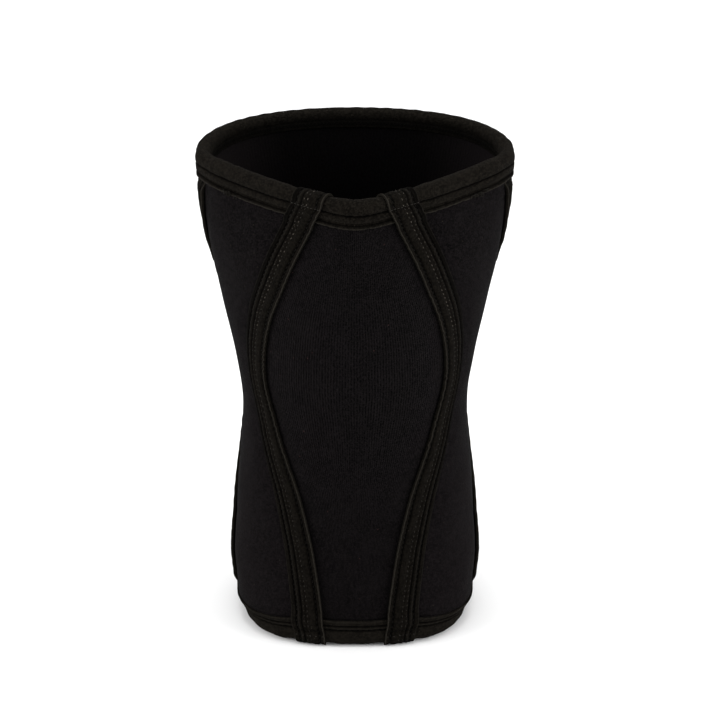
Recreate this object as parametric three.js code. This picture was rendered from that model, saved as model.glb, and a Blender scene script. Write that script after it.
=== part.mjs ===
// A knee sleeve standing on its lower rim: four padded panels sewn edge to edge, a binding folded over
// each rim, and a tape over each seam that runs on over both rims and turns in.
// Millimetres, +Z up. The front faces -Y and +X is the right side of the view from the front.

import * as THREE from "three";

// Overall sizes, at the middle of the wall where they go round the leg
const LENGTH = 288;
const TOP_HALF_WIDTH = 83.5;
const TOP_FRONT_REACH = 82;
const TOP_BACK_REACH = 65;

// Panels
const WALL = 7;
const CLEARANCE = 0.3;
const SEAM_PINCH = 0.6;
const PINCH_MARGIN = 2;
const PINCH_RUNOUT = 8;

// Bindings: depths are measured from the rim's very edge
const BINDING_THICKNESS = 1;
const TOP_BINDING_DEPTH = 15;
const BOTTOM_BINDING_DEPTH = 13.5;
const HEM_DEPTH = 10.5;

// Seam tapes
const TAPE_WIDTH = 17.5;
const TAPE_THICKNESS = 1;
const TAPE_TURN_IN = 8.5;
const TAPE_CLIMB = 4;
const FOOT_FLATTENING = 0.2;
const FOOT_PRESS = 0.75;

// How finely the shapes are cut into flat faces
const PANEL_COLUMNS = { front: 10, side: 14, back: 20 };
const PANEL_ROWS = 16;
const TURN_STEPS = 6;
const TAPE_COLUMNS = 4;
const TANGENT_STEP = 0.5;

// Cross-sections from the floor up. Heights are shares of the length, width and reaches are shares of the
// top's. nose is the share of the half width that stays flat in front, shoulder the share of the front
// reach that stays straight at the side. Seams are shares of the way from the front's middle to the side,
// and from the side to the back's middle.
const SECTIONS = [
  { height: 0.00, width: 0.762, front: 0.640, back: 0.83, nose: 0.68, shoulder: 0.58, frontSeam: 0.272, rearSeam: 0.07 },
  { height: 0.06, width: 0.798, front: 0.644, back: 0.88, nose: 0.67, shoulder: 0.58, frontSeam: 0.276, rearSeam: 0.07 },
  { height: 0.14, width: 0.828, front: 0.650, back: 0.93, nose: 0.62, shoulder: 0.56, frontSeam: 0.300, rearSeam: 0.07 },
  { height: 0.24, width: 0.812, front: 0.660, back: 0.95, nose: 0.58, shoulder: 0.55, frontSeam: 0.351, rearSeam: 0.10 },
  { height: 0.34, width: 0.778, front: 0.690, back: 0.90, nose: 0.56, shoulder: 0.55, frontSeam: 0.423, rearSeam: 0.16 },
  { height: 0.47, width: 0.734, front: 0.740, back: 0.83, nose: 0.56, shoulder: 0.52, frontSeam: 0.561, rearSeam: 0.20 },
  { height: 0.58, width: 0.778, front: 0.790, back: 0.84, nose: 0.53, shoulder: 0.46, frontSeam: 0.627, rearSeam: 0.18 },
  { height: 0.70, width: 0.866, front: 0.860, back: 0.88, nose: 0.47, shoulder: 0.38, frontSeam: 0.551, rearSeam: 0.12 },
  { height: 0.82, width: 0.950, front: 0.930, back: 0.95, nose: 0.42, shoulder: 0.32, frontSeam: 0.402, rearSeam: 0.08 },
  { height: 0.92, width: 0.990, front: 0.970, back: 1.01, nose: 0.27, shoulder: 0.23, frontSeam: 0.283, rearSeam: 0.06 },
  { height: 1.00, width: 1.000, front: 1.000, back: 1.06, nose: 0.19, shoulder: 0.19, frontSeam: 0.192, rearSeam: 0.05 },
];
const BACK_ROUNDNESS = 0.56;

// Layers of a rim, counted outward from the middle of the wall
const BINDING_LIFT = CLEARANCE;
const BINDING_TOP = BINDING_LIFT + BINDING_THICKNESS;
const TAPE_LIFT = CLEARANCE;
const TAPE_OVER_BINDING = BINDING_TOP + CLEARANCE;
const ROLL_RADIUS = WALL / 2 + BINDING_TOP;
const FOLD_RADIUS = WALL / 2 - SEAM_PINCH + TAPE_OVER_BINDING + TAPE_THICKNESS;

// The wall itself ends at these heights, and the layers fold round its two ends
const WALL_TOP = LENGTH - FOLD_RADIUS;
const WALL_BOTTOM = FOLD_RADIUS - FOOT_FLATTENING;

const mix = (from, to, share) => from + (to - from) * share;
const smooth = (share) => THREE.MathUtils.smoothstep(share, 0, 1);

// One cross-section's numbers at any height, on a smooth curve through the table's rows
function sectionAt(height) {
  const last = SECTIONS.length - 1;
  let low = 0;
  while (low < last - 1 && SECTIONS[low + 1].height < height) low += 1;
  const span = SECTIONS[low + 1].height - SECTIONS[low].height;
  const t = (height - SECTIONS[low].height) / span;
  const slope = (row, key) => {
    const before = SECTIONS[Math.max(row - 1, 0)];
    const after = SECTIONS[Math.min(row + 1, last)];
    return ((after[key] - before[key]) / (after.height - before.height)) * span;
  };
  const curve = (key) => {
    const [a, b] = [SECTIONS[low][key], SECTIONS[low + 1][key]];
    const [da, db] = [slope(low, key), slope(low + 1, key)];
    const bend = 3 * (b - a) - 2 * da - db;
    const twist = 2 * (a - b) + da + db;
    return a + t * (da + t * (bend + t * twist));
  };
  return Object.fromEntries(Object.keys(SECTIONS[0]).map((key) => [key, curve(key)]));
}

// The middle line of the wall at height z: a front and a back curve for the right half, which is mirrored
const rings = new Map();
function ringAt(z) {
  if (rings.has(z)) return rings.get(z);
  const section = sectionAt(z / LENGTH);
  const width = section.width * TOP_HALF_WIDTH;
  const front = section.front * TOP_FRONT_REACH;
  const back = section.back * TOP_BACK_REACH;
  const point = (x, y) => new THREE.Vector2(x, y);
  const frontCurve = new THREE.CubicBezierCurve(
    point(0, -front),
    point(section.nose * width, -front),
    point(width, -section.shoulder * front),
    point(width, 0),
  );
  const backCurve = new THREE.CubicBezierCurve(
    point(width, 0),
    point(width, BACK_ROUNDNESS * back),
    point(BACK_ROUNDNESS * width, back),
    point(0, back),
  );
  const frontLength = frontCurve.getLength();
  const backLength = backCurve.getLength();
  const ring = {
    frontCurve,
    backCurve,
    frontLength,
    halfGirth: frontLength + backLength,
    frontSeam: section.frontSeam * frontLength,
    rearSeam: frontLength + section.rearSeam * backLength,
  };
  rings.set(z, ring);
  return ring;
}

// The point at height z and distance s along the girth from the front's middle, positive to the right
function middlePoint(z, s) {
  const ring = ringAt(z);
  const girth = 2 * ring.halfGirth;
  const around = s - girth * Math.round(s / girth);
  const along = Math.abs(around);
  const onFront = along <= ring.frontLength;
  const flat = onFront
    ? ring.frontCurve.getPointAt(along / ring.frontLength)
    : ring.backCurve.getPointAt(Math.min((along - ring.frontLength) / (ring.halfGirth - ring.frontLength), 1));
  return new THREE.Vector3(Math.sign(around) * flat.x, flat.y, z);
}

function frameAt(z, s) {
  const share = s / ringAt(z).halfGirth;
  const onSameLine = (height) => middlePoint(height, share * ringAt(height).halfGirth);
  const across = middlePoint(z, s + TANGENT_STEP).sub(middlePoint(z, s - TANGENT_STEP)).normalize();
  const upward = onSameLine(z + TANGENT_STEP).sub(onSameLine(z - TANGENT_STEP));
  const normal = across.clone().cross(upward).normalize();
  return { middle: middlePoint(z, s), normal, up: normal.clone().cross(across).normalize() };
}

// Seams: where each one runs, as a distance along the girth
const SEAMS = {
  front_right: (z) => ringAt(z).frontSeam,
  rear_right: (z) => ringAt(z).rearSeam,
  rear_left: (z) => -ringAt(z).rearSeam,
  front_left: (z) => -ringAt(z).frontSeam,
};

// The same seam, reached by going round the back
const roundTheBack = (seam) => (z) => seam(z) + 2 * ringAt(z).halfGirth;

// How far a seam moves sideways for each millimetre up the wall
function seamSlope(seam, z) {
  const { normal, up } = frameAt(z, seam(z));
  const [above, below] = [z + TANGENT_STEP, z - TANGENT_STEP];
  const run = middlePoint(above, seam(above)).sub(middlePoint(below, seam(below)));
  return run.dot(up.clone().cross(normal)) / run.dot(up);
}

// A width square to a slanting seam, measured level along the girth instead
const levelWidth = (seam, z, width) => width * Math.hypot(1, seamSlope(seam, z));
const halfGap = (seam, z) => levelWidth(seam, z, CLEARANCE / 2);

// A spot is a place on a layer: height z, distance s along the girth, and turn, the angle by which the
// layer has folded round the wall's end: 0 outside, PI/2 on the rim, PI inside. end is 1 at the top rim
// and -1 at the bottom one. beyond is how far past the end of the wall the layer has run inside.
function seamCentre(seam, { z, turn = 0, end = 1, beyond = 0 }) {
  if (turn === 0) return seam(z);
  const rim = end > 0 ? WALL_TOP : WALL_BOTTOM;
  return seam(rim) + seamSlope(seam, rim) * end * (ROLL_RADIUS * turn + beyond);
}

// The seams draw the padding in, less and less on the way from the rim to the inside
function pinchAt(spot) {
  const { s, turn = 0 } = spot;
  const girth = 2 * ringAt(spot.z).halfGirth;
  const fade = turn > Math.PI / 2 ? Math.sin(turn) : 1;
  const distances = Object.values(SEAMS).map((seam) => {
    const gap = s - seamCentre(seam, spot);
    return Math.abs(gap - girth * Math.round(gap / girth));
  });
  const past = Math.min(...distances) - TAPE_WIDTH / 2 - PINCH_MARGIN;
  return SEAM_PINCH * fade * (1 - smooth(past / PINCH_RUNOUT));
}

function place(spot, lift) {
  const { z, s, turn = 0, end = 1 } = spot;
  const { middle, normal, up } = frameAt(z, s);
  const reach = WALL / 2 - pinchAt(spot) + lift;
  return middle
    .addScaledVector(normal, Math.cos(turn) * reach)
    .addScaledVector(up, Math.sin(turn) * reach * end);
}

// Turns from outside to inside round a rim, without the two flat ends
const FOLD_TURNS = Array.from({ length: TURN_STEPS - 1 }, (_, i) => ((i + 1) * Math.PI) / TURN_STEPS);

const WALL_HEIGHTS = Array.from({ length: PANEL_ROWS + 1 }, (_, i) => mix(WALL_BOTTOM, WALL_TOP, i / PANEL_ROWS));

// Joins closed loops of points, one for each column, into one closed solid. Where ring is true the last
// column joins the first, and otherwise both end loops are closed by a ladder between their two sides.
function solidFrom(loops, { ring = false, apex = false } = {}) {
  const size = loops[0].length;
  const points = loops.flat();
  const faces = [];
  const triangle = (a, b, c) => {
    if (a !== b && b !== c && c !== a) faces.push(a, b, c);
  };
  const quad = (a, b, c, d) => {
    triangle(a, b, c);
    triangle(a, c, d);
  };
  const columns = ring ? loops.length : loops.length - 1;
  for (let column = 0; column < columns; column += 1) {
    const here = column * size;
    const next = ((column + 1) % loops.length) * size;
    for (let i = 0; i < size; i += 1) {
      const j = (i + 1) % size;
      const corners = [here + i, next + i, next + j, here + j];
      const [a, b, c, d] = corners.map((corner) => points[corner]);
      // Cut along the shorter diagonal, so that the layers over each other bend alike
      quad(...(a.distanceTo(c) < b.distanceTo(d) ? corners : [...corners.slice(1), corners[0]]));
    }
  }
  if (!ring) {
    const steps = apex ? size / 2 : size / 2 - 1;
    const opposite = (i) => (apex ? (size - i) % size : size - 1 - i);
    const lastLoop = (loops.length - 1) * size;
    for (let i = 0; i < steps; i += 1) {
      // Both ends are cut along the same diagonals, so that two panels' twisted edges lie side by side
      quad(opposite(i), i, i + 1, opposite(i + 1));
      quad(lastLoop + opposite(i), lastLoop + opposite(i + 1), lastLoop + i + 1, lastLoop + i);
    }
  }
  const geometry = new THREE.BufferGeometry();
  geometry.setAttribute("position", new THREE.Float32BufferAttribute(points.flatMap((p) => p.toArray()), 3));
  geometry.setIndex(faces);
  geometry.computeVertexNormals();
  return geometry;
}

// A panel between two seams: outside up, round the top edge, inside down, round the bottom edge
function panelGeometry(fromSeam, toSeam, columns) {
  const loops = Array.from({ length: columns + 1 }, (_, column) => {
    const line = (z) => mix(fromSeam(z) + halfGap(fromSeam, z), toSeam(z) - halfGap(toSeam, z), column / columns);
    const fold = (end) => {
      const z = end > 0 ? WALL_TOP : WALL_BOTTOM;
      return FOLD_TURNS.map((turn) => ({ z, s: line(z), turn, end }));
    };
    const outside = WALL_HEIGHTS.map((z) => ({ z, s: line(z) }));
    const inside = WALL_HEIGHTS.map((z) => ({ z, s: line(z), turn: Math.PI })).reverse();
    const bottom = fold(-1).reverse();
    const middleTurn = (TURN_STEPS - 1) / 2;
    const spots = [
      ...bottom.slice(middleTurn),
      ...outside,
      ...fold(1),
      ...inside,
      ...bottom.slice(0, middleTurn),
    ];
    return spots.map((spot) => place(spot, 0));
  });
  return solidFrom(loops, { apex: true });
}

// Each panel lies between two seams and is cut into so many columns
const { front_right, rear_right, rear_left, front_left } = SEAMS;
const SPANS = {
  front_panel: [front_left, front_right, PANEL_COLUMNS.front],
  side_panel_right: [front_right, rear_right, PANEL_COLUMNS.side],
  back_panel: [rear_right, roundTheBack(rear_left), PANEL_COLUMNS.back],
  side_panel_left: [rear_left, front_left, PANEL_COLUMNS.side],
};

// The bindings follow the panels' own columns
const bindingColumns = Object.values(SPANS).flatMap(([from, to, count]) =>
  Array.from({ length: count }, (_, i) => (z) => mix(from(z), to(z), i / count)),
);

// A binding folded over a rim: lip outside, round the edge, hem inside, and back over its outer face
function bindingGeometry(end, depth) {
  const rim = end > 0 ? WALL_TOP : WALL_BOTTOM;
  const lip = rim - end * (depth - ROLL_RADIUS);
  const hem = rim - end * (HEM_DEPTH - ROLL_RADIUS);
  const loops = bindingColumns.map((line) => {
    const path = [
      { z: lip, s: line(lip), end },
      { z: rim, s: line(rim), end },
      ...FOLD_TURNS.map((turn) => ({ z: rim, s: line(rim), turn, end })),
      { z: rim, s: line(rim), turn: Math.PI, end },
      { z: hem, s: line(hem), turn: Math.PI, end },
    ];
    if (end < 0) path.reverse();
    const under = path.map((spot) => place(spot, BINDING_LIFT));
    const over = path.map((spot) => place(spot, BINDING_TOP));
    return [...over, ...under.reverse()];
  });
  return solidFrom(loops, { ring: true });
}

// Heights up the outside of a tape, with how far it is lifted off the wall: it climbs onto each binding
function tapeClimb() {
  const topLip = WALL_TOP + ROLL_RADIUS - TOP_BINDING_DEPTH - CLEARANCE;
  const bottomLip = WALL_BOTTOM - ROLL_RADIUS + BOTTOM_BINDING_DEPTH + CLEARANCE;
  const onWall = WALL_HEIGHTS.filter((z) => z > bottomLip + 2 * TAPE_CLIMB && z < topLip - 2 * TAPE_CLIMB);
  return [
    { z: WALL_BOTTOM, lift: TAPE_OVER_BINDING },
    { z: bottomLip, lift: TAPE_OVER_BINDING },
    { z: bottomLip + TAPE_CLIMB, lift: TAPE_LIFT },
    ...onWall.map((z) => ({ z, lift: TAPE_LIFT })),
    { z: topLip - TAPE_CLIMB, lift: TAPE_LIFT },
    { z: topLip, lift: TAPE_OVER_BINDING },
    { z: WALL_TOP, lift: TAPE_OVER_BINDING },
  ];
}

// A tape along a seam, from its turned-in end at the bottom to the one at the top
function tapeGeometry(seam) {
  const turnIn = TAPE_TURN_IN - ROLL_RADIUS;
  const fold = (end) => {
    const rim = end > 0 ? WALL_TOP : WALL_BOTTOM;
    return [
      ...FOLD_TURNS.map((turn) => ({ z: rim, turn, end })),
      { z: rim, turn: Math.PI, end },
      { z: rim - end * turnIn, turn: Math.PI, end, beyond: turnIn },
    ].map((spot) => ({ ...spot, lift: TAPE_OVER_BINDING }));
  };
  const path = [...fold(-1).reverse(), ...tapeClimb(), ...fold(1)];
  const loops = Array.from({ length: TAPE_COLUMNS + 1 }, (_, column) => {
    const offset = mix(-TAPE_WIDTH / 2, TAPE_WIDTH / 2, column / TAPE_COLUMNS);
    const spots = path.map((spot) => {
      const alongWall = spot.turn ? (spot.end > 0 ? WALL_TOP : WALL_BOTTOM) : spot.z;
      return { ...spot, s: seamCentre(seam, spot) + levelWidth(seam, alongWall, offset) };
    });
    const under = spots.map((spot) => place(spot, spot.lift));
    const over = spots.map((spot) => place(spot, spot.lift + TAPE_THICKNESS));
    // The folds carry the sleeve, so what lies lower than this is pressed flat on the floor
    over.forEach((point) => point.setZ(point.z < FOOT_PRESS ? 0 : point.z));
    return [...over, ...under.reverse()];
  });
  return solidFrom(loops);
}

const cloth = (color, roughness) => new THREE.MeshStandardMaterial({ color, roughness, metalness: 0 });
const ribbedKnit = cloth(0x131112, 0.9);
const plushKnit = cloth(0x1c1a1b, 0.95);
const tapeCloth = cloth(0x181613, 0.85);

function piece(name, geometry, material) {
  const mesh = new THREE.Mesh(geometry, material);
  mesh.name = name;
  return mesh;
}

const panel = (name, material) => piece(name, panelGeometry(...SPANS[name]), material);

const sleeve = new THREE.Group();
sleeve.add(
  panel("front_panel", ribbedKnit),
  panel("side_panel_right", plushKnit),
  panel("side_panel_left", plushKnit),
  panel("back_panel", plushKnit),
  piece("front_seam_tape_right", tapeGeometry(front_right), tapeCloth),
  piece("front_seam_tape_left", tapeGeometry(front_left), tapeCloth),
  piece("rear_seam_tape_right", tapeGeometry(rear_right), tapeCloth),
  piece("rear_seam_tape_left", tapeGeometry(rear_left), tapeCloth),
  piece("top_binding", bindingGeometry(1, TOP_BINDING_DEPTH), tapeCloth),
  piece("bottom_binding", bindingGeometry(-1, BOTTOM_BINDING_DEPTH), tapeCloth),
);

// The origin is under the middle of the sleeve's box
const box = new THREE.Box3().setFromObject(sleeve);
sleeve.position.y = -(box.min.y + box.max.y) / 2;
sleeve.updateMatrixWorld(true);

export default sleeve;
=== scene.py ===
"""The looks of a knee sleeve: padded panels, seam tapes, rim bindings and their stitches, on a pale floor.

Metres, +Z up. The knee-cap panel faces -Y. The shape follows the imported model: the same sections, seams and
folds, cut finely, with the relief that sewing leaves in the cloth.
"""
import math

import bpy
import numpy as np
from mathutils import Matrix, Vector


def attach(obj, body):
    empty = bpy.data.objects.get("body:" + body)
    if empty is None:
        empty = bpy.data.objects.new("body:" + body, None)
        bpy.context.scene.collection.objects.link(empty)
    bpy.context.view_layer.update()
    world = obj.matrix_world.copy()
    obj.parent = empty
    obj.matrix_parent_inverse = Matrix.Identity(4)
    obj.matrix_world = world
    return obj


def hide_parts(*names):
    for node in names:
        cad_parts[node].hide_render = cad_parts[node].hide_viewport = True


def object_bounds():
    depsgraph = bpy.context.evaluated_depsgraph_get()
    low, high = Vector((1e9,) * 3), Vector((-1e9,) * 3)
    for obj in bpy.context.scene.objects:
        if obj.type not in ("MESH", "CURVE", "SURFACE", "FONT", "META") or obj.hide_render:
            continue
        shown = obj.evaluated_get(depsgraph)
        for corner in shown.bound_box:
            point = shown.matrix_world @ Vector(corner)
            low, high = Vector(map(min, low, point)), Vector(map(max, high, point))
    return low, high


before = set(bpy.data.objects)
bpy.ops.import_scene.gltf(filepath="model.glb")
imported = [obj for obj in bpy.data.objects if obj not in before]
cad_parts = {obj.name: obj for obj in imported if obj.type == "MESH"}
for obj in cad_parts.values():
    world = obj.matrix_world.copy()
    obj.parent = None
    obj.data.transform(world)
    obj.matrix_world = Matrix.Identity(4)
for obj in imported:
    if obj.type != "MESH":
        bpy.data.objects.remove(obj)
cad_low, cad_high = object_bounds()

MM = 0.001
TAU = 2 * math.pi

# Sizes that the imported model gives
LENGTH = cad_high.z - cad_low.z
BOX_MIDDLE_Y = (cad_low.y + cad_high.y) / 2

# Sizes of the real sleeve, at the middle of its wall
TOP_HALF_WIDTH = 83.5 * MM
TOP_FRONT_REACH = 82 * MM
TOP_BACK_REACH = 65 * MM
WALL = 7 * MM
BINDING_THICKNESS = 1 * MM
TOP_BINDING_DEPTH = 15 * MM
BOTTOM_BINDING_DEPTH = 13.5 * MM
HEM_DEPTH = 10.5 * MM
TAPE_WIDTH = 17.5 * MM
TAPE_THICKNESS = 1 * MM
TAPE_TURN_IN = 8.5 * MM
TAPE_CLIMB = 4 * MM
CLEARANCE = 0.3 * MM
SEAM_PINCH = 0.6 * MM
PINCH_MARGIN = 2 * MM
PINCH_RUNOUT = 8 * MM
FOOT_FLATTENING = 0.2 * MM

# Layers of a rim, counted outward from the middle of the wall
BINDING_TOP = CLEARANCE + BINDING_THICKNESS
TAPE_OVER_BINDING = BINDING_TOP + CLEARANCE
ROLL_RADIUS = WALL / 2 + BINDING_TOP
FOLD_RADIUS = WALL / 2 - SEAM_PINCH + TAPE_OVER_BINDING + TAPE_THICKNESS
WALL_TOP = LENGTH - FOLD_RADIUS
WALL_BOTTOM = FOLD_RADIUS - FOOT_FLATTENING

# Cross-sections from the floor up, in shares of the length and of the top's sizes
SECTION_COLUMNS = ("height", "width", "front", "back", "nose", "shoulder", "front_seam", "rear_seam")
SECTIONS = np.array([
    (0.00, 0.762, 0.652, 0.83, 0.83, 0.68, 0.267, 0.07),
    (0.06, 0.798, 0.650, 0.88, 0.75, 0.63, 0.274, 0.07),
    (0.14, 0.828, 0.650, 0.93, 0.62, 0.56, 0.300, 0.07),
    (0.24, 0.812, 0.660, 0.95, 0.58, 0.55, 0.351, 0.10),
    (0.34, 0.778, 0.690, 0.90, 0.56, 0.55, 0.423, 0.16),
    (0.47, 0.734, 0.740, 0.83, 0.56, 0.52, 0.561, 0.20),
    (0.58, 0.778, 0.790, 0.84, 0.53, 0.46, 0.627, 0.18),
    (0.70, 0.866, 0.860, 0.88, 0.47, 0.38, 0.551, 0.12),
    (0.82, 0.950, 0.930, 0.95, 0.42, 0.32, 0.402, 0.08),
    (0.92, 0.990, 0.970, 1.01, 0.27, 0.23, 0.283, 0.06),
    (1.00, 1.000, 1.000, 1.06, 0.19, 0.19, 0.192, 0.05),
])
BACK_ROUNDNESS = 0.61

# What the soft cloth adds to the sections' half width when it stands by itself: height, extra
EASE = np.array([
    (0, -4.2),
    (8, -2.6),
    (14, 0.9),
    (24, 0.4),
    (38, 0.2),
    (62, -1.3),
    (100, -1.5),
    (130, -0.4),
    (190, 0.0),
    (225, -0.3),
    (250, 1.0),
    (288, 1.7),
]) * MM
CURVE_SAMPLES = 400
TANGENT_STEP = 0.5 * MM
SLANT_OVER_RIM = 0.05

# How far the rear seams lie ahead of the sections' own places, as a share of the back's half: height, share
REAR_SEAM_AHEAD = np.array([
    (0.00, 0.085),
    (0.06, 0.065),
    (0.22, 0.040),
    (0.36, -0.010),
    (0.76, -0.020),
    (0.86, 0.050),
    (1.00, 0.085),
])

# How finely the cloth is cut
PANEL_ROW = 1.6 * MM
PANEL_COLUMN = 1.6 * MM
TAPE_ROW = 0.9 * MM
TAPE_COLUMNS = 48
BINDING_COLUMN = 1.2 * MM
BINDING_ROW = 0.5 * MM
FOLD_STEPS = 14
UNDER_COLUMNS = 6


def smooth(share):
    share = np.clip(share, 0, 1)
    return share * share * (3 - 2 * share)


def hump(distance, width):
    """1 at no distance, falling smoothly to 0 at the given width."""
    return 1 - smooth(np.abs(distance) / width)


def wobble(x, wavelength, seed):
    """A smooth wave of uneven height and spacing, between about -1 and 1."""
    rng = np.random.default_rng(seed)
    waves = [(rng.uniform(0.6, 1.7), rng.uniform(0, TAU)) for _ in range(5)]
    return sum(np.sin(TAU * x * pace / wavelength + phase) for pace, phase in waves) / 2.8


def section_at(height):
    """The section table's numbers at each height, on smooth curves through its rows."""
    heights = SECTIONS[:, 0]
    slopes = np.gradient(SECTIONS, axis=0)
    slopes[1:-1] = (SECTIONS[2:] - SECTIONS[:-2]) / (heights[2:] - heights[:-2])[:, None]
    slopes[0] = (SECTIONS[1] - SECTIONS[0]) / (heights[1] - heights[0])
    slopes[-1] = (SECTIONS[-1] - SECTIONS[-2]) / (heights[-1] - heights[-2])
    low = np.clip(np.searchsorted(heights, height) - 1, 0, len(heights) - 2)
    span = (heights[low + 1] - heights[low])[:, None]
    t = (height - heights[low])[:, None] / span
    a, b = SECTIONS[low], SECTIONS[low + 1]
    da, db = slopes[low] * span, slopes[low + 1] * span
    values = a + t * (da + t * (3 * (b - a) - 2 * da - db + t * (2 * (a - b) + da + db)))
    return dict(zip(SECTION_COLUMNS, values.T))


def bezier(points, t):
    """Points and directions of cubic curves, one for each row of points, at the shares t."""
    t = t[..., None]
    p0, p1, p2, p3 = (points[:, i][:, None] for i in range(4))
    place = (1 - t) ** 3 * p0 + 3 * (1 - t) ** 2 * t * p1 + 3 * (1 - t) * t**2 * p2 + t**3 * p3
    direction = 3 * (1 - t) ** 2 * (p1 - p0) + 6 * (1 - t) * t * (p2 - p1) + 3 * t**2 * (p3 - p2)
    return place, direction


class Rings:
    """The middle line of the wall at each of several heights: the right half, which is mirrored."""

    def __init__(self, z):
        self.z = z
        section = section_at(z / LENGTH)
        width = section["width"] * TOP_HALF_WIDTH
        front = section["front"] * TOP_FRONT_REACH
        back = section["back"] * TOP_BACK_REACH
        none = np.zeros_like(z)
        self.front = np.stack([
            np.stack([none, -front], 1),
            np.stack([section["nose"] * width, -front], 1),
            np.stack([width, -section["shoulder"] * front], 1),
            np.stack([width, none], 1),
        ], 1)
        self.back = np.stack([
            np.stack([width, none], 1),
            np.stack([width, BACK_ROUNDNESS * back], 1),
            np.stack([BACK_ROUNDNESS * width, back], 1),
            np.stack([none, back], 1),
        ], 1)
        self.t = np.linspace(0, 1, CURVE_SAMPLES)
        self.front_run = self.run_of(self.front)
        self.back_run = self.run_of(self.back)
        self.front_length = self.front_run[:, -1]
        self.half_girth = self.front_length + self.back_run[:, -1]
        self.front_seam = section["front_seam"] * self.front_length
        ahead = np.interp(z / LENGTH, REAR_SEAM_AHEAD[:, 0], REAR_SEAM_AHEAD[:, 1])
        rear_share = section["rear_seam"] - ahead
        self.rear_seam = self.front_length + rear_share * self.back_run[:, -1]

    def run_of(self, points):
        place, _ = bezier(points, np.broadcast_to(self.t, (len(points), CURVE_SAMPLES)))
        steps = np.linalg.norm(np.diff(place, axis=1), axis=2)
        return np.concatenate([np.zeros((len(points), 1)), np.cumsum(steps, axis=1)], axis=1)

    def at(self, s):
        """Places and level directions along the girth, for distances s of one row a height."""
        girth = 2 * self.half_girth[:, None]
        around = s - girth * np.round(s / girth)
        side = np.where(around < 0, -1.0, 1.0)
        along = np.abs(around)
        rows = range(len(self.z))
        front_t = np.array([np.interp(along[i], self.front_run[i], self.t) for i in rows])
        behind = along - self.front_length[:, None]
        back_t = np.array([np.interp(behind[i], self.back_run[i], self.t) for i in rows])
        front_place, front_way = bezier(self.front, front_t)
        back_place, back_way = bezier(self.back, back_t)
        on_front = (behind <= 0)[..., None]
        place = np.where(on_front, front_place, back_place)
        way = np.where(on_front, front_way, back_way)
        way /= np.linalg.norm(way, axis=2, keepdims=True)
        z = np.broadcast_to(self.z[:, None], s.shape)
        middle = np.stack([side * place[..., 0], place[..., 1], z], 2)
        across = np.stack([way[..., 0], side * way[..., 1], np.zeros_like(z)], 2)
        return middle, across


SEAM_NAMES = ("front_right", "rear_right", "rear_left", "front_left")


def seam_at(name, rings):
    """How far along the girth a seam runs at each height, positive to the right of the front's middle."""
    distance = rings.front_seam if name.startswith("front") else rings.rear_seam
    return -distance if name.endswith("left") else distance


def unit(vectors):
    return vectors / np.linalg.norm(vectors, axis=-1, keepdims=True)


def frames_at(z, s):
    """The wall's middle, its outward direction and its upward direction, for rows of places."""
    rings, above, below = Rings(z), Rings(z + TANGENT_STEP), Rings(z - TANGENT_STEP)
    share = s / rings.half_girth[:, None]
    middle, across = rings.at(s)
    high, _ = above.at(share * above.half_girth[:, None])
    low, _ = below.at(share * below.half_girth[:, None])
    normal = unit(np.cross(across, high - low))
    return middle, normal, unit(np.cross(normal, across))


def seam_slope(name, z):
    """How far a seam moves sideways for each metre up the wall."""
    above, below, here = Rings(z + TANGENT_STEP), Rings(z - TANGENT_STEP), Rings(z)
    high, _ = above.at(seam_at(name, above)[:, None])
    low, _ = below.at(seam_at(name, below)[:, None])
    _, normal, up = frames_at(z, seam_at(name, here)[:, None])
    run = high - low
    sideways = np.cross(up, normal)
    return ((run * sideways).sum(2) / (run * up).sum(2))[:, 0]


def rim_height(end):
    """The height at which the wall ends at the top, for end 1, or at the bottom, for end -1."""
    return np.where(end > 0, WALL_TOP, WALL_BOTTOM)


class Path:
    """Rows of a layer up the wall and round its ends: height, turn round the end, and run beyond it."""

    def __init__(self, z, turn, end, beyond):
        rows = np.broadcast_arrays(z, turn, end, beyond)
        self.z, self.turn, self.end, self.beyond = (np.array(values, float) for values in rows)

    def __add__(self, other):
        pairs = zip(vars(self).values(), vars(other).values())
        return Path(*(np.concatenate(pair) for pair in pairs))

    def rows(self, chosen):
        return Path(*(values[chosen] for values in vars(self).values()))

    def reversed(self):
        return self.rows(slice(None, None, -1))

    def seam_centre(self, name):
        rings = Rings(self.z)
        rim = rim_height(self.end)
        ends = Rings(rim)
        past = self.end * (ROLL_RADIUS * self.turn + self.beyond)
        folded = seam_at(name, ends) + SLANT_OVER_RIM * seam_slope(name, rim) * past
        return np.where(self.turn > 0, folded, seam_at(name, rings))


def outside(step):
    """Rows up the whole outside. Each half counts from the rim that is nearer to it."""
    z = np.linspace(WALL_BOTTOM, WALL_TOP, round((WALL_TOP - WALL_BOTTOM) / step) + 1)
    return Path(z, 0, np.where(z > LENGTH / 2, 1, -1), 0)


def fold(end, steps=FOLD_STEPS):
    """Rows round the wall's end, from just past the outside to just before the inside."""
    return Path(rim_height(end), np.linspace(0, math.pi, steps + 1)[1:-1], end, 0)


def inside(end, depth, step):
    """Rows down the inside from the wall's end."""
    beyond = np.linspace(0, depth, round(depth / step) + 1)
    return Path(rim_height(end) - end * beyond, math.pi, end, beyond)


def seam_distance(path, s):
    """The distance along the girth to the nearest seam."""
    girth = 2 * Rings(path.z).half_girth[:, None]
    gaps = [s - path.seam_centre(name)[:, None] for name in SEAM_NAMES]
    return np.min([np.abs(gap - girth * np.round(gap / girth)) for gap in gaps], axis=0)


def beside_tapes(path, s):
    """The distance along the girth to the edge of the nearest tape, or 0 under it."""
    return np.maximum(seam_distance(path, s) - TAPE_WIDTH / 2, 0)


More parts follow.
